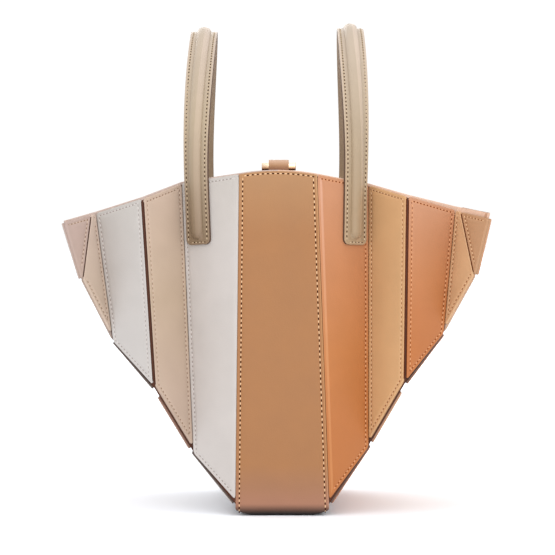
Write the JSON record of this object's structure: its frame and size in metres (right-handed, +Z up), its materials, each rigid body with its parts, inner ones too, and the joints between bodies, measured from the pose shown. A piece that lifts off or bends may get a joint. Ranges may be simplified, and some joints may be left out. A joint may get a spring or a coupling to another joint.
{
  "type": "tote bag",
  "caption": "Open accordion-fold leather tote with panelled pleated ends, a centre band running under the base, arched strap handles and a bar closure tab",
  "frame": {"origin": "middle of the bag's outline on the surface it stands on", "axes": "+Z up; +X right as a pleated end is faced, along the spread of the pleats; +Y from the near pleated end to the far one, along the handles"},
  "size_m": [0.3362, 0.2738, 0.3894],
  "materials": {
    "cream_leather": "smooth full-grain, edges painted brown",
    "sand_leather": "smooth full-grain, edges painted brown",
    "orange_leather": "smooth full-grain, edges painted brown",
    "camel_leather": "smooth full-grain, edges painted brown",
    "tan_leather": "smooth full-grain",
    "beige_leather": "smooth, stitched over a raised core",
    "lining_leather": "matt inner body leather",
    "gold_metal": "polished pale gold"
  },
  "bodies": {
    "root": {"body": "lining_leather", "centre_band": "tan_leather", "left_near_main_panel": "cream_leather", "left_near_side_panel": "sand_leather", "left_near_outer_panel": "cream_leather", "left_near_corner_panel": "sand_leather", "left_near_tip_panel": "sand_leather", "left_far_main_panel": "cream_leather", "left_far_side_panel": "sand_leather", "left_far_outer_panel": "cream_leather", "left_far_corner_panel": "sand_leather", "left_far_tip_panel": "sand_leather", "left_under_main_panel": "cream_leather", "left_under_side_panel": "sand_leather", "left_under_outer_panel": "cream_leather", "left_under_corner_panel": "sand_leather", "left_end_panel": "cream_leather", "left_handle": "beige_leather", "right_near_main_panel": "orange_leather", "right_near_side_panel": "camel_leather", "right_near_outer_panel": "orange_leather", "right_near_corner_panel": "camel_leather", "right_near_tip_panel": "camel_leather", "right_far_main_panel": "orange_leather", "right_far_side_panel": "camel_leather", "right_far_outer_panel": "orange_leather", "right_far_corner_panel": "camel_leather", "right_far_tip_panel": "camel_leather", "right_under_main_panel": "orange_leather", "right_under_side_panel": "camel_leather", "right_under_outer_panel": "orange_leather", "right_under_corner_panel": "camel_leather", "right_end_panel": "orange_leather", "right_handle": "beige_leather", "closure_tab": "tan_leather", "closure_bar": "gold_metal"}
  },
  "joints": []
}
